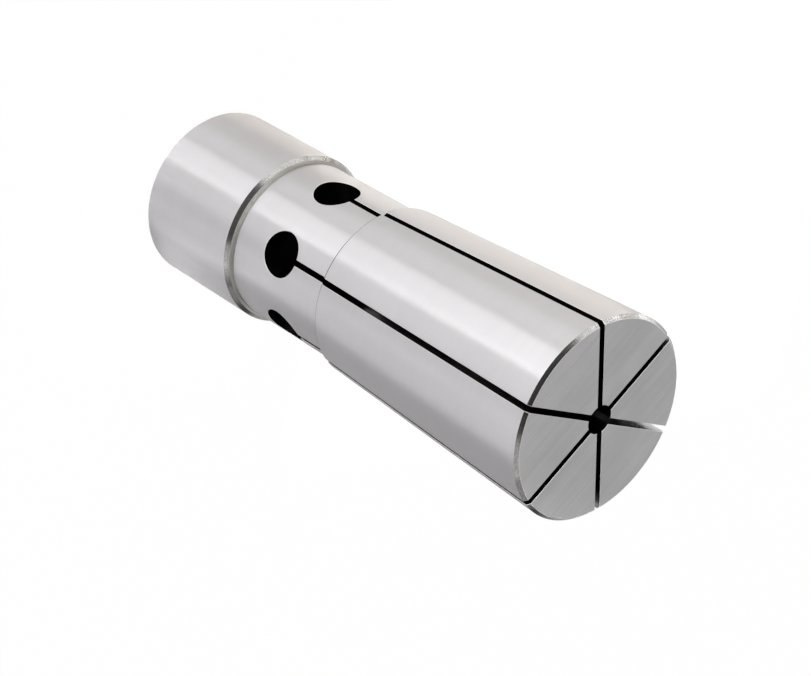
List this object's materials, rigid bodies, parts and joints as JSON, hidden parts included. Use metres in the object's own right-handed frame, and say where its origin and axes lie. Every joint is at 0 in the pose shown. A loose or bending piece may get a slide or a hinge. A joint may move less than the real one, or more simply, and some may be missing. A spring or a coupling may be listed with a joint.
{
  "type": "spring collet",
  "caption": "Slotted steel spring collet: a slow-tapered gripping head sawn into jaws, a thin springing neck with round relief holes, and a plain rear collar.",
  "frame": {"origin": "centre of the rear face, which the collet stands on", "axes": "+Z along the collet's axis towards the slotted front face; +X through the middle of one jaw"},
  "size_m": [0.032, 0.032, 0.09],
  "materials": {
    "ground_steel": "bright ground steel, satin"
  },
  "bodies": {
    "root": {"collet_body": "ground_steel"}
  },
  "joints": []
}
